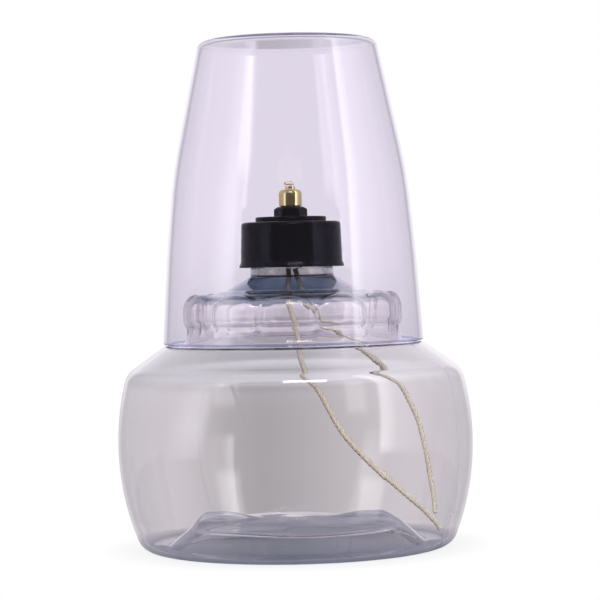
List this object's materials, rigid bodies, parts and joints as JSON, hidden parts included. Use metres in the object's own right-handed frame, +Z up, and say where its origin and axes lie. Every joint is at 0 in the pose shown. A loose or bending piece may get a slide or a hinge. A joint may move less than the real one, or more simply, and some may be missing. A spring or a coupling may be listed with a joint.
{
  "type": "alcohol burner",
  "caption": "Squat clear fuel bottle with a fluted collar, a black screw cap holding a brass wick tube and twisted cotton wick, and a tall clear snuffer cover.",
  "frame": {"origin": "centre of the flat ring that the bottle stands on", "axes": "+Z up the axis that the bottle, cap and cover are turned about; the front of the burner faces -Y"},
  "size_m": [0.0802, 0.0802, 0.1144],
  "materials": {
    "bottle_plastic": "clear, blow moulded, thin walled",
    "cover_plastic": "clear moulded plastic with a faint lavender tint",
    "black_plastic": "satin moulded",
    "gasket_rubber": "matt",
    "tube_brass": "turned and polished",
    "clamp_brass": "plain machined",
    "wick_cotton": "twisted unbleached cotton"
  },
  "bodies": {
    "bottle": {"fuel_bottle": "bottle_plastic"},
    "cover": {"snuffer_cover": "cover_plastic"},
    "gasket": {"rim_gasket": "gasket_rubber"},
    "head": {"screw_cap": "black_plastic", "clamp_disc": "black_plastic", "top_nut": "black_plastic", "wick_tube": "tube_brass", "under_washer": "clamp_brass", "under_nut": "clamp_brass"},
    "wick": {"wick_cord_front": "wick_cotton", "wick_cord_rear": "wick_cotton"}
  },
  "joints": [
    {"name": "cover_lift", "type": "slide", "parent": "bottle", "child": "cover", "axis": [0, 0, 1], "range_m": [0, 0.06]},
    {"name": "cap_rise", "type": "slide", "parent": "bottle", "child": "gasket", "axis": [0, 0, 1], "range_m": [0, 0.00397]},
    {"name": "cap_turn", "type": "hinge", "parent": "gasket", "child": "head", "pos_m": [0, 0, 0.068], "axis": [0, 0, 1], "range_deg": [0, 450]},
    {"name": "wick_feed", "type": "slide", "parent": "gasket", "child": "wick", "axis": [0, 0, 1], "range_m": [-0.0003, 0.003]}
  ],
  "couplings": [
    {"joint": "cap_turn", "follows": "cap_rise", "rad_per_m": 1979}
  ]
}
